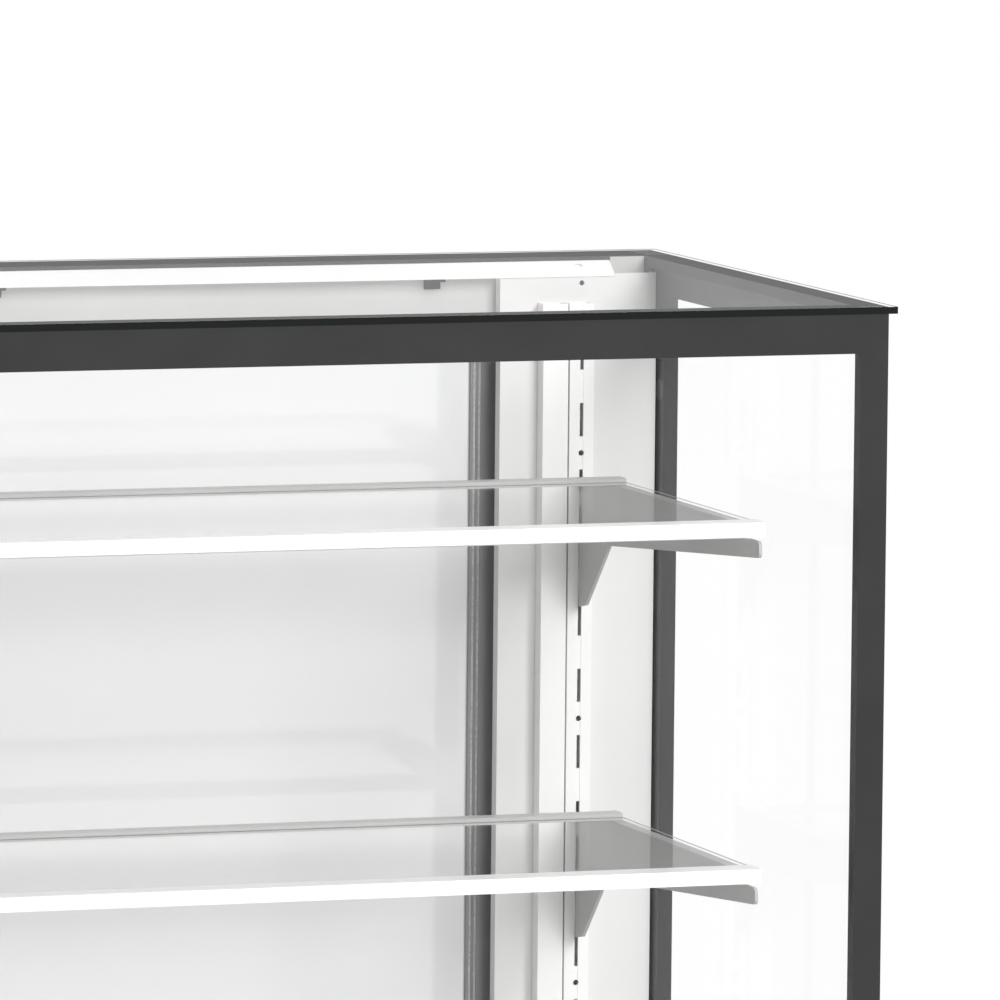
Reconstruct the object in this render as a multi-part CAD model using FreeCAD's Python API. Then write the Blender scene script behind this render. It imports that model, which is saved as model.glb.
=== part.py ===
import FreeCAD, Part
import os
from FreeCAD import Vector

# Floor-standing glass showcase with hung shelves and sliding rear doors.
# Millimetres. Origin at the middle of the base, +X right, front towards -Y, +Z up.

# Overall sizes
case_width = 1400.0
case_depth = 505.0
case_height = 1800.0
plinth_top = 120.0

# Glass
top_glass_t = 5.0
glass_overhang = 5.0
front_glass_t = 5.0
end_glass_t = 4.0
glazing_gap = 0.3

# Frame section: an outer lip with a leg that carries or caps the glass
frame_width = 21.0
lip = 11.5
leg = 8.0
rail_height = 28.5
frame_wall = 2.0
rear_post_depth = 58.0
rear_lip_proud = 12.0
rear_body_depth = 46.0

# Bolts in the rear posts
bolt_head_r = 8.0
bolt_head_h = 2.0
bolt_shank_r = 2.5
bolt_shank_l = 6.0
bolt_clear = 0.1
bolt_drop = 95.0
bolt_set = 9.5

# Door tracks
track_depth = 45.0
track_wall = 2.0
track_clear = 1.0
inner_door_set = 17.0
track_engage = 13.0

# Doors
door_panel_t = 6.0
stile_cheek = 3.0
stile_w = 31.5
stile_slot = 20.0
stile_gap = 1.5
stile_edge_clear = 0.5
panel_slot_clear = 0.3
rib_w = 2.0
rib_depth = 1.5
rib_pitch = 4.0
rib_count = 2
pull_w = 8.0
pull_depth = 2.0
door_between = 2.0
door_overlap = 50.0
door_end_gap = 1.5
door_lift = 2.0

# Door carriers and rollers
carrier_l = 40.0
carrier_h = 26.0
carrier_cheek = 2.4
carrier_inset = 90.0
ear_t = 1.3
ear_l = 16.0
roller_r = 9.0
roller_gap = 0.3
axle_r = 2.0
axle_clear = 0.08
floor_clear = 0.3

# Jambs and fillers behind the pilasters
jamb_in = 121.5
jamb_w = 11.5
filler_t = 6.0
filler_set = 2.5

# Pilasters and uprights, measured from the outer side of the case
pilaster_in = 139.6
pilaster_t = 1.5
pilaster_flange = 9.0
pilaster_gap = 0.6
pilaster_drop = 12.0
pilaster_hole_r = 2.0
pilaster_hole_in = 75.0
pilaster_hole_drop = 18.7
cover_in = 110.0
cover_w = 19.7
upright_gap = 1.3
upright_w = 19.2
upright_d = 13.0
upright_wall = 1.8
upright_drop = 33.0
stand_gap = 0.3
slot_w = 2.8
slot_l = 25.0
slot_pitch = 50.0
slot_drop = 52.9
slot_foot = 20.0
hole_r = 2.15
hole_slot_count = 4
groove_depth = 0.4
rivet_r = 1.7
rivet_clear = 0.1
rivet_head_r = 3.5
rivet_head_h = 1.2
rivet_bulb_r = 2.4
rivet_bulb_h = 2.0

# Shelves
shelf_count = 6
first_slot_count = 2
shelf_slot_count = 5
shelf_below_slot = 0.6
shelf_glass_t = 6.0
shelf_depth = 311.0
shelf_front_set = 49.0
trim_t = 1.5
trim_gap = 0.3
front_lip_depth = 20.0
front_lip_t = 1.2
front_skirt = 2.0
front_leg_depth = 36.0
rear_lip_depth = 15.0
rear_lip_t = 3.0
rear_round = 2.2

# Brackets, with heights measured down from the shelf's top
bracket_t = 2.4
bracket_flange_w = 9.0
bracket_flange_t = 1.5
bracket_reach = 389.5
bracket_rear_h = 102.5
bracket_toe = 16.0
bracket_toe_lift = 3.0
bracket_knee_out = 68.0
bracket_knee_h = 49.5
tip_top = 12.5
tip_h = 11.7
tip_round = 4.0
notch_out = 23.5
notch_l = 19.0
notch_h = 13.5
flange_back = 3.0
hook_h = 9.0
hook_tail = 8.0
hook_t = 3.0
hook_clear = 0.4

# Light under the rear rail
light_drop = 3.0
light_h = 11.0
light_depth = 14.0
light_nose = 0.5
light_wall = 1.5
light_in = 49.0
light_gap = 0.3
diffuser_t = 1.2
diffuser_set = 4.0
board_t = 1.0
board_h = 4.0
end_cap_t = 1.5
clip_w = 12.0
clip_t = 2.0
clip_tab = 6.0
clip_in = 189.0
clip_rows = 4
screw_slot_w = 5.3
screw_slot_h = 1.6
screw_slot_in = 75.0

# Base
deck_t = 18.0
deck_gap = 0.5
board_set = 10.0
board_thick = 16.0
plinth_lift = 15.0
block_size = 60.0
block_h = 40.0
foot_r = 20.0
foot_h = 10.0
stem_r = 5.0
stem_clear = 0.3
stem_short = 5.0

# Planes worked out from the sizes above
half_w = case_width / 2
half_d = case_depth / 2
front = -half_d
rear = half_d
frame_top = case_height - top_glass_t
inner_x = half_w - frame_width
lip_x = half_w - lip
front_lip = front + lip
front_in = front + frame_width
top_under = frame_top - rail_height
top_leg = frame_top - leg
bottom_top = plinth_top + rail_height
bottom_leg = plinth_top + leg
post_front = rear - rear_post_depth
body_front = rear - rear_body_depth
post_lip_front = post_front - rear_lip_proud
track_front = rear - track_depth
deck_top = bottom_leg + deck_t
end_glass_in = lip_x - glazing_gap - end_glass_t
stile_t = door_panel_t + 2 * stile_cheek
door_pitch = stile_t + door_between
track_slot = door_panel_t + 2 * track_clear
inner_door_y = track_front + inner_door_set
outer_door_y = inner_door_y + door_pitch
jamb_x = half_w - jamb_in
door_edge = jamb_x - door_end_gap
panel_back = post_front + pilaster_t
upright_front = post_front - upright_d
cover_x = half_w - cover_in
upright_x = cover_x + cover_w + upright_gap
slot_x = upright_x + upright_w / 2
cover_mid = cover_x + cover_w / 2
light_top = frame_top - light_drop
light_bottom = light_top - light_h
light_end = half_w - light_in
shelf_end = slot_x + bracket_flange_w / 2
shelf_front = front + shelf_front_set
shelf_back = shelf_front + shelf_depth
bracket_tip = upright_front - bracket_reach
upright_top = frame_top - upright_drop


def box(x0, x1, y0, y1, z0, z1):
    return Part.makeBox(x1 - x0, y1 - y0, z1 - z0, Vector(x0, y0, z0))


def along_x(points, x0, x1):
    # A closed outline of (y, z) points carried from x0 to x1
    corners = [Vector(x0, y, z) for y, z in points]
    face = Part.Face(Part.makePolygon(corners + corners[:1]))
    return face.extrude(Vector(x1 - x0, 0, 0))


def rod(r, start, axis, length):
    return Part.makeCylinder(r, length, start, axis)


def join(shapes):
    whole = shapes[0].fuse(shapes[1:]) if len(shapes) > 1 else shapes[0]
    return whole.removeSplitter()


def mirrored(shape):
    return shape.mirror(Vector(0, 0, 0), Vector(1, 0, 0))


def save(node, *shapes):
    solids = [solid for shape in shapes for solid in shape.Solids]
    whole = Part.makeCompound(solids) if len(solids) > 1 else solids[0]
    whole.exportStep("parts/" + node + ".step")
    print(node, len(solids), "solids", round(whole.Volume))


def save_pair(node, right):
    save(node + "_right", right)
    save(node + "_left", mirrored(right))


os.makedirs("parts", exist_ok=True)
X_AXIS = Vector(1, 0, 0)
Y_AXIS = Vector(0, 1, 0)
Z_AXIS = Vector(0, 0, 1)


# Frame posts
def front_post():
    w = frame_wall
    legs = [
        box(inner_x, half_w, front, front_lip, plinth_top, frame_top),
        box(lip_x, half_w, front_lip, front_in, plinth_top, frame_top),
        box(inner_x, lip_x, front_lip, front_in, top_leg, frame_top),
        box(inner_x, lip_x, front_lip, front_in, plinth_top, bottom_leg),
    ]
    hollow = box(inner_x + w, half_w - w, front + w, front_lip - w, plinth_top, frame_top)
    return join(legs).cut(hollow)


def bolt_heights():
    return [frame_top - bolt_drop, bottom_top + bolt_drop]


def bolt_solid(z, clear):
    mid_y = post_lip_front + bolt_set
    head = rod(bolt_head_r + clear, Vector(lip_x, mid_y, z), X_AXIS, bolt_head_h + clear)
    shank = rod(bolt_shank_r + clear, Vector(lip_x, mid_y, z), X_AXIS, bolt_shank_l + clear)
    return head.fuse(shank)


def rear_post():
    w = frame_wall
    solid = box(inner_x, half_w, body_front, rear, plinth_top, frame_top)
    solid = solid.fuse(box(lip_x, half_w, post_lip_front, body_front, plinth_top, frame_top))
    solid = solid.cut(box(inner_x + w, half_w - w, body_front + w, rear - w, plinth_top, frame_top))
    for z in bolt_heights():
        solid = solid.cut(bolt_solid(z, bolt_clear))
    return solid.removeSplitter()


save_pair("front_post", front_post())
save_pair("rear_post", rear_post())
post_bolts = [bolt_solid(z, 0.0).removeSplitter() for z in bolt_heights()]
save("post_bolts", *post_bolts, *[mirrored(bolt) for bolt in post_bolts])


# Frame rails: the lip outside, the leg at the top rail's top or the bottom rail's foot
def front_rail(z0, z1, leg_z0, leg_z1):
    w = frame_wall
    lip_bar = box(-inner_x, inner_x, front, front_lip, z0, z1)
    leg_bar = box(-inner_x, inner_x, front_lip, front_in, leg_z0, leg_z1)
    return join([lip_bar, leg_bar]).cut(box(-inner_x, inner_x, front + w, front_lip - w, z0 + w, z1 - w))


def side_rail(z0, z1, leg_z0, leg_z1):
    w = frame_wall
    lip_bar = box(lip_x, half_w, front_in, post_lip_front, z0, z1)
    leg_bar = box(inner_x, lip_x, front_in, body_front, leg_z0, leg_z1)
    return join([lip_bar, leg_bar]).cut(box(lip_x + w, half_w - w, front_in, post_lip_front, z0 + w, z1 - w))


save("top_rail_front", front_rail(top_under, frame_top, top_leg, frame_top))
save_pair("top_rail", side_rail(top_under, frame_top, top_leg, frame_top))
save("bottom_rail_front", front_rail(plinth_top, bottom_top, plinth_top, bottom_leg))
save_pair("bottom_rail", side_rail(plinth_top, bottom_top, plinth_top, bottom_leg))


# Rear rails: two door channels between fins on a plate
def track(plate_z0, plate_z1, fin_z0, fin_z1):
    half = track_slot / 2
    fins = [
        (track_front, track_front + track_wall),
        (inner_door_y - half - track_wall, inner_door_y - half),
        (inner_door_y + half, outer_door_y - half),
        (outer_door_y + half, outer_door_y + half + track_wall),
        (rear - track_wall, rear),
    ]
    plate = box(-inner_x, inner_x, track_front, rear, plate_z0, plate_z1)
    return join([plate] + [box(-inner_x, inner_x, y0, y1, fin_z0, fin_z1) for y0, y1 in fins])


save("rear_top_track", track(top_leg, frame_top, top_under, top_leg))
save("rear_bottom_track", track(plinth_top, bottom_leg, bottom_leg, bottom_top))


# Jambs and white fillers close the back beside the doors
def jamb():
    w = frame_wall
    x1 = jamb_x + jamb_w
    tube = box(jamb_x, x1, panel_back, rear, bottom_top, top_under)
    return tube.cut(box(jamb_x + w, x1 - w, panel_back + w, rear - w, bottom_top, top_under))


filler = box(jamb_x + jamb_w, inner_x, rear - filler_set - filler_t, rear - filler_set, bottom_top, top_under)
save_pair("door_jamb", jamb())
save("rear_fillers", filler, mirrored(filler))

# Glass
glass_x = half_w + glass_overhang
glass_y = half_d + glass_overhang
front_glass_y = front_lip + glazing_gap
front_glass_back = front_glass_y + front_glass_t
glass_bottom = bottom_leg + glazing_gap
glass_top = top_leg - glazing_gap
front_glass_x = lip_x - 2 * glazing_gap
save("top_glass", box(-glass_x, glass_x, -glass_y, glass_y, frame_top, case_height))
front_pane = box(-front_glass_x, front_glass_x, front_glass_y, front_glass_back, glass_bottom, glass_top)
save("front_glass", front_pane)
end_glass = box(
    end_glass_in, end_glass_in + end_glass_t,
    front_glass_back + glazing_gap, body_front - glazing_gap,
    glass_bottom, glass_top,
)
save_pair("end_glass", end_glass)


# Uprights stand on the deck in front of the pilaster panel
def slot_tops():
    lowest = deck_top + slot_foot + slot_l
    count = int((frame_top - slot_drop - lowest) // slot_pitch) + 1
    return [frame_top - slot_drop - slot_pitch * n for n in range(count)]


def hole_heights():
    # Every fourth bridge between two slots carries a round hole
    bridge = (slot_pitch - slot_l) / 2
    return [z - slot_l - bridge for z in slot_tops()[1::hole_slot_count]]


def rivet_columns():
    return [cover_mid, slot_x]


def upright(x0, width):
    w = upright_wall
    z0 = deck_top + stand_gap
    tube = box(x0, x0 + width, upright_front, post_front, z0, upright_top)
    tube = tube.cut(box(x0 + w, x0 + width - w, upright_front + w, post_front - w, z0, upright_top))
    back_holes = [
        rod(rivet_r + rivet_clear, Vector(x0 + width / 2, post_front - w, z), Y_AXIS, w)
        for z in hole_heights()
    ]
    return tube.cut(Part.makeCompound(back_holes))


def slotted_upright():
    w = upright_wall
    half = slot_w / 2
    groove = box(
        slot_x - half, slot_x + half,
        upright_front, upright_front + groove_depth,
        deck_top + stand_gap, upright_top,
    )
    cuts = [groove]
    for z in slot_tops():
        cuts.append(box(slot_x - half, slot_x + half, upright_front, upright_front + w, z - slot_l, z))
    for z in hole_heights():
        cuts.append(rod(hole_r, Vector(slot_x, upright_front, z), Y_AXIS, w))
    return upright(upright_x, upright_w).cut(cuts)


def pilaster_panel():
    x0 = half_w - pilaster_in
    x1 = end_glass_in - pilaster_gap
    z0 = deck_top + stand_gap
    z1 = frame_top - pilaster_drop
    sheet = join([
        box(x0, x1, post_front, panel_back, z0, z1),
        box(x0, x0 + pilaster_t, panel_back, panel_back + pilaster_flange, z0, z1),
        box(x1 - pilaster_t, x1, panel_back, body_front, z0, z1),
    ])
    below_light = light_bottom - light_gap
    hole = Vector(half_w - pilaster_hole_in, post_front, frame_top - pilaster_hole_drop)
    cuts = [box(x0, light_end + light_gap, post_front, body_front, below_light, frame_top)]
    cuts.append(rod(pilaster_hole_r, hole, Y_AXIS, pilaster_t))
    for x in rivet_columns():
        for z in hole_heights():
            cuts.append(rod(rivet_r + rivet_clear, Vector(x, post_front, z), Y_AXIS, pilaster_t))
    return sheet.cut(cuts)


def rivet(x, z):
    inside = post_front - upright_wall
    parts = [
        rod(rivet_r, Vector(x, inside, z), Y_AXIS, panel_back - inside),
        rod(rivet_head_r, Vector(x, panel_back, z), Y_AXIS, rivet_head_h),
        rod(rivet_bulb_r, Vector(x, inside - rivet_bulb_h, z), Y_AXIS, rivet_bulb_h),
    ]
    return join(parts)


cover_upright = upright(cover_x, cover_w)
save_pair("pilaster_panel", pilaster_panel())
save_pair("slotted_upright", slotted_upright())
save("cover_uprights", cover_upright, mirrored(cover_upright))
rivets = [rivet(x, z) for x in rivet_columns() for z in hole_heights()]
save("upright_rivets", *rivets, *[mirrored(one) for one in rivets])


# Shelves hang on brackets whose hooks sit in the uprights' slots
def shelf_tops():
    slots = slot_tops()
    return [slots[first_slot_count + shelf_slot_count * n] - shelf_below_slot for n in range(shelf_count)]


def shelf_glass(top):
    return box(-shelf_end, shelf_end, shelf_front, shelf_back, top - shelf_glass_t, top)


def front_trim(top):
    under = top - shelf_glass_t
    face_back = shelf_front - trim_gap
    face = face_back - trim_t
    seat = top - notch_h
    rib_y = bracket_tip + notch_out + notch_l / 2
    return join([
        box(-shelf_end, shelf_end, face, face_back, under - trim_t - front_skirt, top + front_lip_t),
        box(-shelf_end, shelf_end, face_back, shelf_front + front_lip_depth, top, top + front_lip_t),
        box(-shelf_end, shelf_end, face_back, face + front_leg_depth, under - trim_t, under),
        box(-shelf_end, shelf_end, rib_y - trim_t / 2, rib_y + trim_t / 2, seat, under - trim_t),
    ])


def rear_trim(top):
    under = top - shelf_glass_t
    wall = shelf_back + trim_gap
    lip_front = shelf_back - rear_lip_depth
    cap = box(-shelf_end, shelf_end, lip_front, wall + trim_t, top, top + rear_lip_t)
    top_edges = [
        edge for edge in cap.Edges
        if edge.BoundBox.ZMin > top + rear_lip_t / 2 and edge.BoundBox.XLength > shelf_end
    ]
    cap = cap.makeFillet(min(rear_round, 0.9 * rear_lip_t), top_edges)
    return join([
        cap,
        box(-shelf_end, shelf_end, wall, wall + trim_t, under - trim_t, top),
        box(-shelf_end, shelf_end, lip_front, wall, under - trim_t, under),
    ])


def bracket(top):
    flange_top = top - shelf_glass_t - trim_t
    plate_top = flange_top - bracket_flange_t
    heel = upright_front - hook_clear
    notch_front = bracket_tip + notch_out
    notch_back = notch_front + notch_l
    outline = [
        (heel, plate_top),
        (heel, top - bracket_rear_h),
        (heel - bracket_toe, top - bracket_rear_h + bracket_toe_lift),
        (upright_front - bracket_knee_out, top - bracket_knee_h),
        (bracket_tip, top - tip_top - tip_h),
        (bracket_tip, top - tip_top),
        (notch_front, top - tip_top),
        (notch_front, top - notch_h),
        (notch_back, top - notch_h),
        (notch_back, plate_top),
    ]
    x0 = slot_x - bracket_t / 2
    plate = along_x(outline, x0, x0 + bracket_t)
    corners = [
        edge for edge in plate.Edges
        if edge.BoundBox.YMax < bracket_tip + tip_round / 2 and edge.BoundBox.XLength > bracket_t / 2
    ]
    plate = plate.makeFillet(min(tip_round, 0.45 * tip_h), corners)
    flange = box(
        slot_x - bracket_flange_w / 2, slot_x + bracket_flange_w / 2,
        notch_back + flange_back, heel,
        plate_top, flange_top,
    )
    parts = [plate, flange]
    tail = upright_front + upright_wall + hook_clear
    slot_foot_z = top + shelf_below_slot - slot_l
    for seat in (slot_foot_z, slot_foot_z - slot_pitch):
        parts.append(box(x0, x0 + bracket_t, heel, tail, seat, seat + hook_h))
        parts.append(box(x0, x0 + bracket_t, tail, tail + hook_t, seat - hook_tail, seat + hook_h))
    return join(parts)


for number, top in enumerate(shelf_tops(), 1):
    save("shelf_glass_%d" % number, shelf_glass(top))
save("shelf_front_trims", *[front_trim(top) for top in shelf_tops()])
save("shelf_rear_trims", *[rear_trim(top) for top in shelf_tops()])
brackets = [bracket(top) for top in shelf_tops()]
save("brackets_right", *brackets)
save("brackets_left", *[mirrored(one) for one in brackets])


# Sliding doors: the right one runs in the inner channel, the left one in the outer
door_width = door_edge + door_overlap / 2
door_foot = bottom_top + door_lift
door_head = top_under + track_engage


def door_stile(x0, mid_y, slot_side):
    # The slot opens towards +X on a left stile and towards -X on a right one
    y0 = mid_y - stile_t / 2
    y1 = mid_y + stile_t / 2
    z0 = door_foot
    z1 = top_under - stile_gap
    bar = box(x0, x0 + stile_w, y0, y1, z0, z1)
    half = door_panel_t / 2 + panel_slot_clear
    if slot_side > 0:
        mouth, end = x0 + stile_w - stile_slot, x0 + stile_w
        inner_edge, step = end, -1
    else:
        mouth, end = x0, x0 + stile_slot
        inner_edge, step = x0, 1
    cuts = [box(mouth, end, mid_y - half, mid_y + half, z0, z1)]
    for n in range(rib_count):
        edge = inner_edge + step * (rib_pitch * n + rib_pitch / 2)
        low, high = sorted((edge, edge + step * rib_w))
        cuts.append(box(low, high, y0, y0 + rib_depth, z0, z1))
    pull_mid = x0 + stile_w / 2
    cuts.append(box(pull_mid - pull_w / 2, pull_mid + pull_w / 2, y1 - pull_depth, y1, z0, z1))
    return bar.cut(cuts)


def door_panel(x0, mid_y):
    inset = stile_w - stile_slot + stile_edge_clear
    return box(
        x0 + inset, x0 + door_width - inset,
        mid_y - door_panel_t / 2, mid_y + door_panel_t / 2,
        door_foot, door_head,
    )


roller_z = bottom_leg + floor_clear + roller_r
ear_out = door_panel_t / 2
ear_in = ear_out - ear_t


def roller(x, mid_y):
    half = ear_in - roller_gap
    wheel = rod(roller_r, Vector(x, mid_y - half, roller_z), Y_AXIS, 2 * half)
    axle = rod(axle_r, Vector(x, mid_y - ear_out, roller_z), Y_AXIS, 2 * ear_out)
    return join([wheel, axle])


def carrier(x, mid_y):
    # Cheeks grip the panel's foot and two ears hang into the channel
    grip = door_panel_t / 2 + panel_slot_clear
    z0 = bottom_top + floor_clear
    z1 = z0 + carrier_h
    half = carrier_l / 2
    block = box(x - half, x + half, mid_y - grip - carrier_cheek, mid_y + grip + carrier_cheek, z0, z1)
    block = block.cut(box(x - half, x + half, mid_y - grip, mid_y + grip, door_foot, z1))
    ear_foot = roller_z - axle_r - ear_t - 2 * floor_clear
    ears = [
        box(x - ear_l / 2, x + ear_l / 2, mid_y + ear_in, mid_y + ear_out, ear_foot, z0),
        box(x - ear_l / 2, x + ear_l / 2, mid_y - ear_out, mid_y - ear_in, ear_foot, z0),
    ]
    whole = join([block] + ears)
    room = roller_r + roller_gap
    wheel_room = box(x - room, x + room, mid_y - ear_in, mid_y + ear_in, ear_foot, roller_z + room)
    axle_hole = rod(axle_r + axle_clear, Vector(x, mid_y - ear_out, roller_z), Y_AXIS, 2 * ear_out)
    return whole.cut([wheel_room, axle_hole])


def save_door(side, x0, mid_y):
    x1 = x0 + door_width
    save("door_panel_" + side, door_panel(x0, mid_y))
    save("door_stiles_" + side, door_stile(x0, mid_y, 1), door_stile(x1 - stile_w, mid_y, -1))
    wheels = [("a", x0 + carrier_inset), ("b", x1 - carrier_inset)]
    save("door_carriers_" + side, *[carrier(x, mid_y) for letter, x in wheels])
    for letter, x in wheels:
        save("door_roller_" + side + "_" + letter, roller(x, mid_y))
        print("  roller axis", round(x, 3), round(mid_y, 3), round(roller_z, 3))


save_door("right", door_edge - door_width, inner_door_y)
save_door("left", -door_edge, outer_door_y)


# Light: a sloping cover on a back wall, open below for the diffuser
nose_y = track_front - light_depth
nose_z = light_bottom + light_nose
cover_drop = light_wall * (light_depth ** 2 + (light_top - nose_z) ** 2) ** 0.5 / light_depth


def light_housing():
    x1 = light_end - end_cap_t
    slope = [
        (track_front, light_top),
        (nose_y, nose_z),
        (nose_y, light_bottom),
        (nose_y + light_wall, light_bottom),
        (track_front, light_top - cover_drop),
    ]
    cover = along_x(slope, -x1, x1)
    wall = box(-x1, x1, track_front - light_wall, track_front, light_bottom, light_top - cover_drop)
    housing = join([cover, wall])
    slot_z = light_top - 2 * screw_slot_h
    slot_mid = half_w - screw_slot_in
    slot = box(
        slot_mid - screw_slot_w / 2, slot_mid + screw_slot_w / 2,
        nose_y, track_front - light_wall,
        slot_z - screw_slot_h / 2, slot_z + screw_slot_h / 2,
    )
    return housing.cut([slot, mirrored(slot)])


def diffuser():
    x1 = light_end - end_cap_t
    y1 = track_front - light_wall
    return box(-x1, x1, nose_y + diffuser_set, y1, light_bottom, light_bottom + diffuser_t)


def light_board():
    x1 = light_end - 2 * end_cap_t
    y1 = track_front - light_wall
    z0 = light_bottom + 2 * diffuser_t
    return box(-x1, x1, y1 - board_t, y1, z0, z0 + board_h)


def end_cap():
    outline = [
        (track_front, light_top),
        (nose_y, nose_z),
        (nose_y, light_bottom),
        (track_front, light_bottom),
    ]
    return along_x(outline, light_end - end_cap_t, light_end)


def light_clip(x):
    x0 = x - clip_w / 2
    x1 = x + clip_w / 2
    under = light_bottom - clip_t
    tongue = box(x0, x1, nose_y, track_front, under, light_bottom)
    tab = box(x0, x1, track_front - clip_t, track_front, under - clip_tab, under)
    return join([tongue, tab])


clip_first = half_w - clip_in
clip_step = 2 * clip_first / (clip_rows - 1)
save("light_housing", light_housing())
save("light_diffuser", diffuser())
save("light_board", light_board())
save("light_end_caps", end_cap(), mirrored(end_cap()))
save("light_clips", *[light_clip(clip_first - clip_step * n) for n in range(clip_rows)])

# Base: the deck lies on the bottom rails' legs, the plinth stands under the rails
deck_x = end_glass_in - deck_gap
deck_front = front_glass_back + deck_gap
save("deck_panel", box(-deck_x, deck_x, deck_front, body_front - stand_gap, bottom_leg, deck_top))
board_x = half_w - board_set
board_y = half_d - board_set
long_board = box(-board_x, board_x, -board_y, -board_y + board_thick, plinth_lift, plinth_top)
end_board = box(
    board_x - board_thick, board_x,
    -board_y + board_thick, board_y - board_thick,
    plinth_lift, plinth_top,
)
rear_board = long_board.mirror(Vector(0, 0, 0), Y_AXIS)
save("plinth_long_boards", long_board, rear_board)
save("plinth_end_boards", end_board, mirrored(end_board))

block_x = board_x - board_thick
block_y = board_y - board_thick
foot_x = block_x - block_size / 2
foot_y = block_y - block_size / 2
stem_top = plinth_top - stem_short


def corner_block(side_x, side_y):
    mid = Vector(side_x * foot_x, side_y * foot_y, plinth_top - block_h)
    half = block_size / 2
    block = box(mid.x - half, mid.x + half, mid.y - half, mid.y + half, mid.z, plinth_top)
    return block.cut(rod(stem_r + stem_clear, mid, Z_AXIS, block_h))


def levelling_foot(side_x, side_y):
    base = Vector(side_x * foot_x, side_y * foot_y, 0)
    pad = rod(foot_r, base, Z_AXIS, foot_h)
    rim = [edge for edge in pad.Edges if edge.BoundBox.ZMin > foot_h / 2 and edge.Length > foot_r]
    pad = pad.makeFillet(foot_h / 4, rim)
    return join([pad, rod(stem_r, base, Z_AXIS, stem_top)])


corners = [("front_left", -1, -1), ("front_right", 1, -1), ("rear_left", -1, 1), ("rear_right", 1, 1)]
save("corner_blocks", *[corner_block(x, y) for name, x, y in corners])
for name, x, y in corners:
    save("foot_" + name, levelling_foot(x, y))
print("foot axis", foot_x, foot_y)
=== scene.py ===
import math
import bpy
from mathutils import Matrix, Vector


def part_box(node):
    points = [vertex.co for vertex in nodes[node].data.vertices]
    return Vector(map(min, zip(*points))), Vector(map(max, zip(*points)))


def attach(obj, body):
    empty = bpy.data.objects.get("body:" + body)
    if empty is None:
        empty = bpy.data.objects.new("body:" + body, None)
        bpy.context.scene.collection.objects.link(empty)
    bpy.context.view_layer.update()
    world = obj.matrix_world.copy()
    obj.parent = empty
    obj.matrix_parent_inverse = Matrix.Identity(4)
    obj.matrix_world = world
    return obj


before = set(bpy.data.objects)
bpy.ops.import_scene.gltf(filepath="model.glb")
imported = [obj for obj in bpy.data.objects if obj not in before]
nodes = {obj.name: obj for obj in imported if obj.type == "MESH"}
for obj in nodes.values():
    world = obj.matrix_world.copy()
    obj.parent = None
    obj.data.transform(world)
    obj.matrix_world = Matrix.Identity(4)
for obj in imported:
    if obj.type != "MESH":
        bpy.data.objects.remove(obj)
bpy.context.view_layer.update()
print("frame loaded with", len(nodes), "nodes")

mm = 0.001


# colours are written as sRGB hex and turned to linear here
def toLinear(hexColour):
    channels = [int(hexColour[i:i + 2], 16) / 255 for i in (1, 3, 5)]
    linear = [c / 12.92 if c <= 0.04045 else ((c + 0.055) / 1.055) ** 2.4 for c in channels]
    return (*linear, 1.0)


# adds one node with its settings and links, inputs by name or by number
def addNode(tree, kind, settings=None, links=None):
    node = tree.nodes.new(kind)
    for key, value in (settings or {}).items():
        if isinstance(key, int) or key in node.inputs:
            node.inputs[key].default_value = value
        else:
            setattr(node, key, value)
    for key, socket in (links or {}).items():
        tree.links.new(socket, node.inputs[key])
    return node


def newTree(name):
    material = bpy.data.materials.new(name)
    material.use_nodes = True
    material.node_tree.nodes.clear()
    return material, material.node_tree


def showShader(tree, shader):
    addNode(tree, "ShaderNodeOutputMaterial", None, {"Surface": shader})


def mixedShader(tree, share, first, second):
    return addNode(tree, "ShaderNodeMixShader", None, {0: share, 1: first, 2: second}).outputs[0]


def largerOf(tree, first, second):
    return addNode(tree, "ShaderNodeMath", {"operation": "MAXIMUM"}, {0: first, 1: second}).outputs[0]


# 1 for rays that look at a surface, straight or by way of a mirror or glass, and 0 for rays that gather light
def lookingRays(tree):
    path = addNode(tree, "ShaderNodeLightPath").outputs
    straight = largerOf(tree, path["Is Camera Ray"], path["Is Glossy Ray"])
    return largerOf(tree, straight, path["Is Transmission Ray"])


# noise of a real grain size in object space
def grainOf(tree, sizeMm):
    place = addNode(tree, "ShaderNodeTexCoord").outputs["Object"]
    settings = {"Scale": 1 / (sizeMm * mm), "Detail": 2.0}
    return addNode(tree, "ShaderNodeTexNoise", settings, {"Vector": place}).outputs["Fac"]


# noise stays near its middle, so the two tones stand at 0.3 and 0.7 of it
def toneBetween(tree, factor, firstHex, secondHex):
    stops = addNode(tree, "ShaderNodeValToRGB", None, {"Fac": factor})
    for stop, position, tone in zip(stops.color_ramp.elements, (0.3, 0.7), (firstHex, secondHex)):
        stop.position = position
        stop.color = toLinear(tone)
    return stops.outputs["Color"]


# coated, anodised and moulded finishes: two close tones, a bump of one grain, uneven roughness
def grainedFinish(name, look):
    bumpShare = 0.2
    material, tree = newTree(name)
    grain = grainOf(tree, look["grainMm"])
    cloud = grainOf(tree, look["cloudMm"])
    bump = addNode(
        tree, "ShaderNodeBump",
        {"Strength": look["bump"], "Distance": look["grainMm"] * mm * bumpShare},
        {"Height": grain},
    )
    sheen = addNode(
        tree, "ShaderNodeMapRange",
        {"To Min": look["roughness"] - look["uneven"], "To Max": look["roughness"] + look["uneven"]},
        {"Value": cloud},
    )
    shader = addNode(
        tree, "ShaderNodeBsdfPrincipled",
        {"IOR": look.get("ior", 1.5), "Metallic": look.get("metallic", 0.0)},
        {
            "Base Color": toneBetween(tree, cloud, look["dark"], look["pale"]),
            "Roughness": sheen.outputs["Result"],
            "Normal": bump.outputs["Normal"],
        },
    )
    showShader(tree, shader.outputs["BSDF"])
    return material


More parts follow.
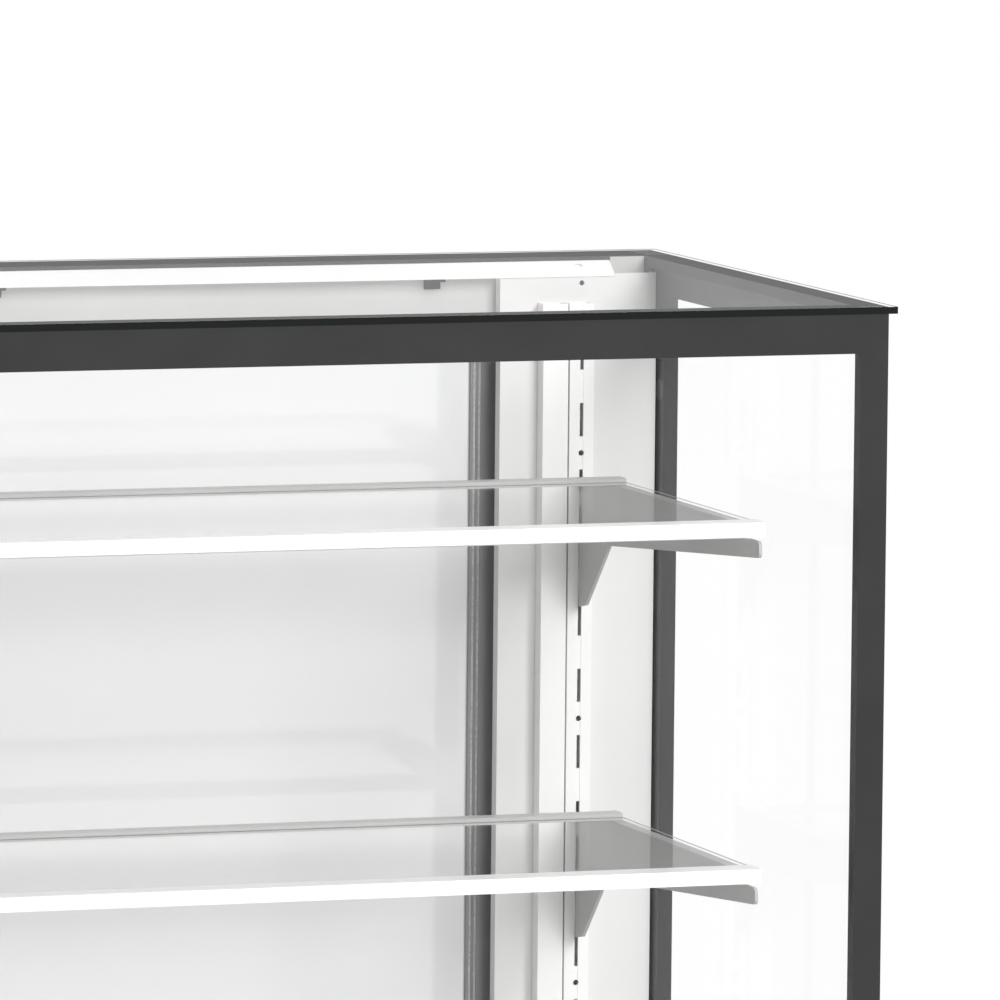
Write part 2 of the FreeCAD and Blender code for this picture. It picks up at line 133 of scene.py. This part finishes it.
# float glass: clear on its two wide faces, with a colour of its own on the ground edges around them
def floatGlass(name, pane):
    material, tree = newTree(name)
    normal = addNode(tree, "ShaderNodeNewGeometry").outputs["Normal"]
    axes = addNode(tree, "ShaderNodeSeparateXYZ", None, {"Vector": normal})
    along = addNode(
        tree, "ShaderNodeMath", {"operation": "ABSOLUTE"}, {0: axes.outputs[pane["thinAxis"]]},
    )
    onFace = addNode(
        tree, "ShaderNodeMath", {"operation": "GREATER_THAN", 1: 0.5}, {0: along.outputs[0]},
    )
    through = addNode(
        tree, "ShaderNodeBsdfRefraction",
        {"Color": toLinear(pane["tint"]), "Roughness": 0.0, "IOR": 1.5},
    )
    shine = addNode(tree, "ShaderNodeBsdfGlossy", {"Color": (1, 1, 1, 1), "Roughness": 0.0})
    facing = addNode(tree, "ShaderNodeLayerWeight", {"Blend": 0.5}).outputs["Facing"]
    amount = addNode(
        tree, "ShaderNodeMapRange",
        {"To Min": pane["shineFacing"], "To Max": pane["shineGrazing"]},
        {"Value": facing},
    )
    face = mixedShader(tree, amount.outputs["Result"], through.outputs[0], shine.outputs[0])
    edge = addNode(
        tree, "ShaderNodeBsdfPrincipled",
        {"Base Color": toLinear(pane["edge"]), "Roughness": 0.45, "IOR": 1.3},
    )
    solid = mixedShader(tree, onFace.outputs[0], edge.outputs[0], face)
    # light passes straight through, so that the case is lit as if it stood open
    letThrough = addNode(tree, "ShaderNodeBsdfTransparent", {"Color": toLinear(pane["tint"])})
    path = addNode(tree, "ShaderNodeLightPath").outputs
    gathering = largerOf(tree, path["Is Shadow Ray"], path["Is Diffuse Ray"])
    showShader(tree, mixedShader(tree, gathering, solid, letThrough.outputs[0]))
    return material


# opal acrylic over the light: glows evenly and stays white when it is looked at
def opalAcrylic(name, look):
    material, tree = newTree(name)
    cloud = grainOf(tree, look["cloudMm"])
    shader = addNode(
        tree, "ShaderNodeBsdfPrincipled",
        {
            "Roughness": look["roughness"],
            "Emission Color": toLinear(look["glow"]),
            "Emission Strength": look["strength"],
        },
        {"Base Color": toneBetween(tree, cloud, look["dark"], look["pale"])},
    )
    showShader(tree, shader.outputs["BSDF"])
    return material


# light board: white solder mask with a yellow chip every few millimetres along X
def lightBoardFinish(name, look):
    material, tree = newTree(name)
    place = addNode(tree, "ShaderNodeTexCoord").outputs["Object"]
    axes = addNode(tree, "ShaderNodeSeparateXYZ", None, {"Vector": place})
    steps = addNode(
        tree, "ShaderNodeMath",
        {"operation": "PINGPONG", 1: look["pitchMm"] * mm / 2},
        {0: axes.outputs["X"]},
    )
    chip = addNode(
        tree, "ShaderNodeMath",
        {"operation": "LESS_THAN", 1: look["chipMm"] * mm / 2},
        {0: steps.outputs[0]},
    )
    shader = addNode(
        tree, "ShaderNodeBsdfPrincipled", {"Roughness": 0.4},
        {"Base Color": toneBetween(tree, chip.outputs[0], look["mask"], look["chip"])},
    )
    showShader(tree, shader.outputs["BSDF"])
    return material


# matt studio paper: seen pale from everywhere, and it still takes the shadow
def studioPaper(name, look):
    material, tree = newTree(name)
    cloud = grainOf(tree, look["cloudMm"])
    matt = addNode(
        tree, "ShaderNodeBsdfDiffuse", {"Roughness": 0.9},
        {"Color": toneBetween(tree, cloud, look["dark"], look["pale"])},
    )
    lift = addNode(tree, "ShaderNodeEmission", {"Color": (1, 1, 1, 1), "Strength": 1.0})
    amount = addNode(
        tree, "ShaderNodeMath", {"operation": "MULTIPLY", 1: look["lift"]}, {0: lookingRays(tree)},
    )
    showShader(tree, mixedShader(tree, amount.outputs[0], matt.outputs[0], lift.outputs[0]))
    return material


# anodised extrusion, satin, with die lines too fine to see drawn as a 1.5 mm grain
charcoal = grainedFinish("anodisedCharcoal", {
    "dark": "#313132", "pale": "#363637", "grainMm": 1.5, "cloudMm": 60.0,
    "bump": 0.05, "roughness": 0.42, "uneven": 0.04, "ior": 1.32,
})
# paler anodised grey of the door stiles, ribbed by their shape
stileGrey = grainedFinish("anodisedStileGrey", {
    "dark": "#8C8D8D", "pale": "#949595", "grainMm": 1.2, "cloudMm": 50.0,
    "bump": 0.05, "roughness": 0.38, "uneven": 0.04,
})
# powder coat on folded sheet: white with a faint orange peel of about 1.5 mm
powderWhite = grainedFinish("powderCoatWhite", {
    "dark": "#FAFAF9", "pale": "#FEFEFD", "grainMm": 1.5, "cloudMm": 120.0,
    "bump": 0.06, "roughness": 0.45, "uneven": 0.05,
})
# the same coat on the wide panels, made a shade greyer than on the uprights: painted shade for the pilaster
# panels that stand behind the uprights
shadedPanelWhite = grainedFinish("powderCoatPanelPaintedShade", {
    "dark": "#E6E6E5", "pale": "#EBEBEA", "grainMm": 1.5, "cloudMm": 160.0,
    "bump": 0.06, "roughness": 0.45, "uneven": 0.05,
})
# high gloss laminate of the doors: mirrors the shelves faintly
glossWhite = grainedFinish("highGlossLaminate", {
    "dark": "#EBECEC", "pale": "#EFEFEF", "grainMm": 9.0, "cloudMm": 300.0,
    "bump": 0.004, "roughness": 0.04, "uneven": 0.01, "ior": 1.85,
})
# satin white coated aluminium trims
trimWhite = grainedFinish("coatedTrimWhite", {
    "dark": "#F6F6F6", "pale": "#FAFAFA", "grainMm": 1.2, "cloudMm": 90.0,
    "bump": 0.03, "roughness": 0.35, "uneven": 0.04,
})
# rigid PVC of the rear trims and the reflector sheet: a duller white than the coats, greyed as painted shade
# on the shelves' rear edges and on the sheet under the light
rearTrimShadedWhite = grainedFinish("extrudedPvcWhitePaintedShade", {
    "dark": "#C6C6C5", "pale": "#CCCCCB", "grainMm": 1.6, "cloudMm": 110.0,
    "bump": 0.03, "roughness": 0.4, "uneven": 0.05,
})
# bracket coat: pale grey over steel plate
bracketGrey = grainedFinish("bracketCoatGrey", {
    "dark": "#BABAB9", "pale": "#C1C1C0", "grainMm": 1.2, "cloudMm": 40.0,
    "bump": 0.05, "roughness": 0.42, "uneven": 0.05,
})
# melamine faced board: fine pearl texture
melamine = grainedFinish("melamineWhite", {
    "dark": "#EDEDEB", "pale": "#F2F2F0", "grainMm": 2.0, "cloudMm": 150.0,
    "bump": 0.08, "roughness": 0.5, "uneven": 0.05,
})
# charcoal laminate of the plinth, with a fine pearl
laminateCharcoal = grainedFinish("laminateCharcoal", {
    "dark": "#272728", "pale": "#2E2E2F", "grainMm": 2.0, "cloudMm": 120.0,
    "bump": 0.1, "roughness": 0.5, "uneven": 0.06,
})
# moulded black nylon of the carriers, feet and clips: matt with a fine spark texture
nylonBlack = grainedFinish("mouldedNylonBlack", {
    "dark": "#1A1A1B", "pale": "#222223", "grainMm": 0.9, "cloudMm": 25.0,
    "bump": 0.12, "roughness": 0.55, "uneven": 0.06,
})
# turned acetal of the rollers: milky and slightly waxy
acetal = grainedFinish("turnedAcetal", {
    "dark": "#D9D7D0", "pale": "#E2E0DA", "grainMm": 0.6, "cloudMm": 12.0,
    "bump": 0.04, "roughness": 0.35, "uneven": 0.04,
})
# zinc plated steel of the rivets: a bright, slightly mottled metal
zincSteel = grainedFinish("zincPlatedSteel", {
    "dark": "#9B9C9C", "pale": "#B4B5B5", "grainMm": 0.4, "cloudMm": 6.0,
    "bump": 0.08, "roughness": 0.3, "uneven": 0.08, "metallic": 1.0,
})
# dark zinc plated steel of the post bolts: a dull grey, a little paler than the posts
boltSteel = grainedFinish("darkZincSteel", {
    "dark": "#565657", "pale": "#626263", "grainMm": 0.5, "cloudMm": 6.0,
    "bump": 0.08, "roughness": 0.35, "uneven": 0.08,
})
# pile of the dust seals: pale nylon fibres, drawn as a 0.8 mm nap
pileGrey = grainedFinish("wovenPileGrey", {
    "dark": "#A9A9A7", "pale": "#C9C9C7", "grainMm": 0.8, "cloudMm": 3.0,
    "bump": 0.5, "roughness": 0.9, "uneven": 0.05,
})
# the light's folded cover, coated white
lightWhite = grainedFinish("lightCoverWhite", {
    "dark": "#FCFCFC", "pale": "#FFFFFF", "grainMm": 1.2, "cloudMm": 80.0,
    "bump": 0.02, "roughness": 0.4, "uneven": 0.04,
})
# extruded opal acrylic of the diffuser, lit from inside
opal = opalAcrylic("opalAcrylic", {
    "dark": "#F7F7F4", "pale": "#FCFCFA", "cloudMm": 40.0,
    "roughness": 0.35, "glow": "#FFFDF6", "strength": 0.6,
})
# printed board with a row of chips, hidden behind the diffuser
lightBoard = lightBoardFinish("lightBoardMask", {
    "mask": "#F2F3F0", "chip": "#E9C64A", "pitchMm": 16.0, "chipMm": 3.5,
})
# thick top pane: its edge is seen deep in the glass, nearly black green
topGlass = floatGlass("floatGlassTop", {
    "thinAxis": "Z", "tint": "#FEFEFE", "edge": "#0D1210", "shineFacing": 0.03, "shineGrazing": 0.16,
})
# shelves: polished edges that catch the light and look pale
shelfGlass = floatGlass("floatGlassShelf", {
    "thinAxis": "Z", "tint": "#FEFEFE", "edge": "#F0F6F3", "shineFacing": 0.03, "shineGrazing": 0.12,
})
# front and end panes: clear and hardly mirroring, with dark edges that the frame covers
frontGlass = floatGlass("floatGlassFront", {
    "thinAxis": "Y", "tint": "#FFFFFF", "edge": "#1D2523", "shineFacing": 0.004, "shineGrazing": 0.08,
})
endGlass = floatGlass("floatGlassEnd", {
    "thinAxis": "X", "tint": "#FFFFFF", "edge": "#1D2523", "shineFacing": 0.006, "shineGrazing": 0.06,
})
# matt paper under the case, pale enough to run into the white behind it
floorPaper = studioPaper("studioFloorPaper", {
    "dark": "#F1F1EF", "pale": "#F5F5F3", "cloudMm": 900.0, "lift": 0.62,
})
print("materials made")

# which finish each node takes, by the start of its name
finishes = [
    (("front_post", "rear_post", "top_rail", "bottom_rail", "rear_top_track"), charcoal),
    (("rear_bottom_track", "door_jamb"), charcoal),
    (("top_glass",), topGlass),
    (("shelf_glass",), shelfGlass),
    (("front_glass",), frontGlass),
    (("end_glass",), endGlass),
    (("slotted_upright", "cover_uprights"), powderWhite),
    # pilaster panels take the greyed copy of the upright coat, painted shade
    (("pilaster_panel",), shadedPanelWhite),
    (("shelf_front_trims",), trimWhite),
    # rear trims take the greyed PVC white, painted shade
    (("shelf_rear_trims",), rearTrimShadedWhite),
    (("brackets",), bracketGrey),
    (("door_panel",), glossWhite),
    (("door_stiles",), stileGrey),
    (("door_carriers", "foot_", "light_clips"), nylonBlack),
    (("door_roller",), acetal),
    (("upright_rivets",), zincSteel),
    (("post_bolts",), boltSteel),
    (("rear_fillers", "deck_panel"), melamine),
    (("plinth", "corner_blocks"), laminateCharcoal),
    (("light_housing", "light_end_caps"), lightWhite),
    (("light_diffuser",), opal),
    (("light_board",), lightBoard),
]
for nodeName, part in nodes.items():
    part.data.materials.clear()
    for starts, material in finishes:
        if nodeName.startswith(starts):
            part.data.materials.append(material)
    if not part.data.materials:
        print("no finish for", nodeName)
print("finishes set")


def clearSelection():
    if bpy.context.object and bpy.context.object.mode != "OBJECT":
        bpy.ops.object.mode_set(mode="OBJECT")
    bpy.ops.object.select_all(action="DESELECT")


# a bar between two corners in millimetres, its edges rounded off
def roundedBar(name, low, high, roundMm, material):
    clearSelection()
    size = [(b - a) * mm for a, b in zip(low, high)]
    middle = [(a + b) / 2 * mm for a, b in zip(low, high)]
    bpy.ops.mesh.primitive_cube_add(size=1, location=middle)
    bar = bpy.context.object
    bar.name = name
    bar.scale = size
    bpy.ops.object.transform_apply(location=True, rotation=False, scale=True)
    soften = bar.modifiers.new("soften", "BEVEL")
    soften.width = roundMm * mm
    soften.segments = 2
    bpy.ops.object.modifier_apply(modifier="soften")
    bpy.ops.object.shade_smooth_by_angle(angle=math.radians(35))
    bar.data.materials.append(material)
    return bar


def joinBars(name, bars):
    clearSelection()
    for bar in bars:
        bar.select_set(True)
    bpy.context.view_layer.objects.active = bars[0]
    bpy.ops.object.join()
    bars[0].name = name
    return bars[0]


# a flat sheet cut to an outline of (x, z) corners in millimetres, listed anticlockwise as seen from the front
def cutSheet(name, outline, frontMm, backMm, material):
    count = len(outline)
    corners = [(x * mm, y * mm, z * mm) for y in (frontMm, backMm) for x, z in outline]
    faces = [list(range(count)), list(range(2 * count - 1, count - 1, -1))]
    for i in range(count):
        j = (i + 1) % count
        faces.append([i, i + count, j + count, j])
    mesh = bpy.data.meshes.new(name)
    mesh.from_pydata(corners, [], faces)
    mesh.materials.append(material)
    sheet = bpy.data.objects.new(name, mesh)
    bpy.context.collection.objects.link(sheet)
    return sheet


# white reflector sheet on the rear rail's inner face: notched for the light's clips, narrow behind
# the pilasters, tall beyond the light's ends, and hanging below the rail in front of the doors
reflector = {
    "thickMm": 0.4, "topMm": 1780.6, "footMm": 1766.9, "endMm": 678.6,
    "notchFootMm": 1772.6, "notchHalfMm": 6.6, "clipHalfMm": 6.0,
    "hemMm": 1748.0, "hemEndMm": 577.8, "neckMm": 600.0, "neckTopMm": 1771.5,
    "shoulderMm": 651.6, "shoulderTopMm": 1794.4,
}
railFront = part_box("rear_top_track")[0][1] / mm
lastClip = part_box("light_clips")[1][0] / mm - reflector["clipHalfMm"]
rightEdge = [
    (reflector["hemEndMm"], reflector["hemMm"]),
    (reflector["hemEndMm"], reflector["footMm"]),
    (reflector["endMm"], reflector["footMm"]),
    (reflector["endMm"], reflector["shoulderTopMm"]),
    (reflector["shoulderMm"], reflector["shoulderTopMm"]),
    (reflector["shoulderMm"], reflector["neckTopMm"]),
    (reflector["neckMm"], reflector["neckTopMm"]),
    (reflector["neckMm"], reflector["topMm"]),
]
notches = []
for clip in (lastClip, lastClip / 3, -lastClip / 3, -lastClip):
    right, left = clip + reflector["notchHalfMm"], clip - reflector["notchHalfMm"]
    notches += [(right, reflector["topMm"]), (right, reflector["notchFootMm"])]
    notches += [(left, reflector["notchFootMm"]), (left, reflector["topMm"])]
leftEdge = [(-x, z) for x, z in reversed(rightEdge)]
# the sheet takes the greyed PVC white: painted shade under the light and the rail
reflectorSheet = cutSheet(
    "reflectorSheet", rightEdge + notches + leftEdge,
    railFront - reflector["thickMm"], railFront, rearTrimShadedWhite,
)
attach(reflectorSheet, "case")

# pile seals pressed into the two grooves along the inner edge of every stile
pile = {
    "widthMm": 1.9, "sunkMm": 0.1, "deepMm": 1.4, "roundMm": 0.5,
    "firstMm": 3.0, "pitchMm": 4.0, "rows": 2, "stileMm": 31.5, "endGapMm": 3.0,
}
for side in ("right", "left"):
    low, high = [[value / mm for value in corner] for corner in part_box("door_stiles_" + side)]
    seals = []
    for edge, step in ((low[0] + pile["stileMm"], -1), (high[0] - pile["stileMm"], 1)):
        for n in range(pile["rows"]):
            middle = edge + step * (pile["firstMm"] + pile["pitchMm"] * n)
            seals.append(roundedBar(
                "pileSeal",
                (middle - pile["widthMm"] / 2, low[1] + pile["sunkMm"], low[2] + pile["endGapMm"]),
                (middle + pile["widthMm"] / 2, low[1] + pile["deepMm"], high[2] - pile["endGapMm"]),
                pile["roundMm"], pileGrey,
            ))
    sealSet = joinBars("pileSeals_" + side, seals)
    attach(sealSet, "door_" + side)
print("sheet and seals made")

# floor, in metres
stageLook = {"floorRadius": 4.5, "floorSides": 96, "skyLevel": 0.3, "aim": (0, 0, 1.0)}
clearSelection()
bpy.ops.mesh.primitive_circle_add(
    vertices=stageLook["floorSides"], radius=stageLook["floorRadius"], fill_type="NGON", location=(0, 0, 0),
)
floor = bpy.context.object
floor.name = "studioFloor"
floor.data.materials.append(floorPaper)

# white all round where it is looked at, and dimmer as a source of light
world = bpy.data.worlds.new("studioWhite")
bpy.context.scene.world = world
world.use_nodes = True
skyTree = world.node_tree
skyTree.nodes.clear()
level = addNode(
    skyTree, "ShaderNodeMapRange",
    {"To Min": stageLook["skyLevel"], "To Max": 1.0},
    {"Value": lookingRays(skyTree)},
)
sky = addNode(skyTree, "ShaderNodeBackground", {"Color": (1, 1, 1, 1)}, {"Strength": level.outputs["Result"]})
addNode(skyTree, "ShaderNodeOutputWorld", None, {"Surface": sky.outputs[0]})

# large soft lamps aimed at the case, left out of mirror images and of the view itself
lamps = {
    "keyLamp": {"place": (1.9, -4.8, 4.4), "watts": 325.0, "size": 3.0},
    "rearLamp": {"place": (1.0, 5.4, 3.8), "watts": 205.0, "size": 3.0},
}
for lampName, look in lamps.items():
    bpy.ops.object.light_add(type="AREA", location=look["place"])
    lamp = bpy.context.object
    lamp.name = lampName
    lamp.data.energy = look["watts"]
    lamp.data.size = look["size"]
    towards = Vector(stageLook["aim"]) - Vector(look["place"])
    lamp.rotation_euler = towards.to_track_quat("-Z", "Y").to_euler()
    lamp.visible_camera = False
    lamp.visible_glossy = False
    lamp.visible_transmission = False

# camera fitted to straight edges in the photograph
view = {
    "place": (-2.07385, -7.50774, 2.47174), "turnDeg": (84.0213, -0.5358, -18.8344),
    "lensMm": 394.19, "sensorMm": 36.0, "farEnd": 100.0,
}
bpy.ops.object.camera_add(location=view["place"])
camera = bpy.context.object
camera.name = "photoCamera"
camera.rotation_euler = [math.radians(a) for a in view["turnDeg"]]
camera.data.sensor_width = view["sensorMm"]
camera.data.lens = view["lensMm"]
camera.data.clip_end = view["farEnd"]
bpy.context.scene.camera = camera
bpy.context.scene.view_settings.view_transform = "Standard"
print("stage set")
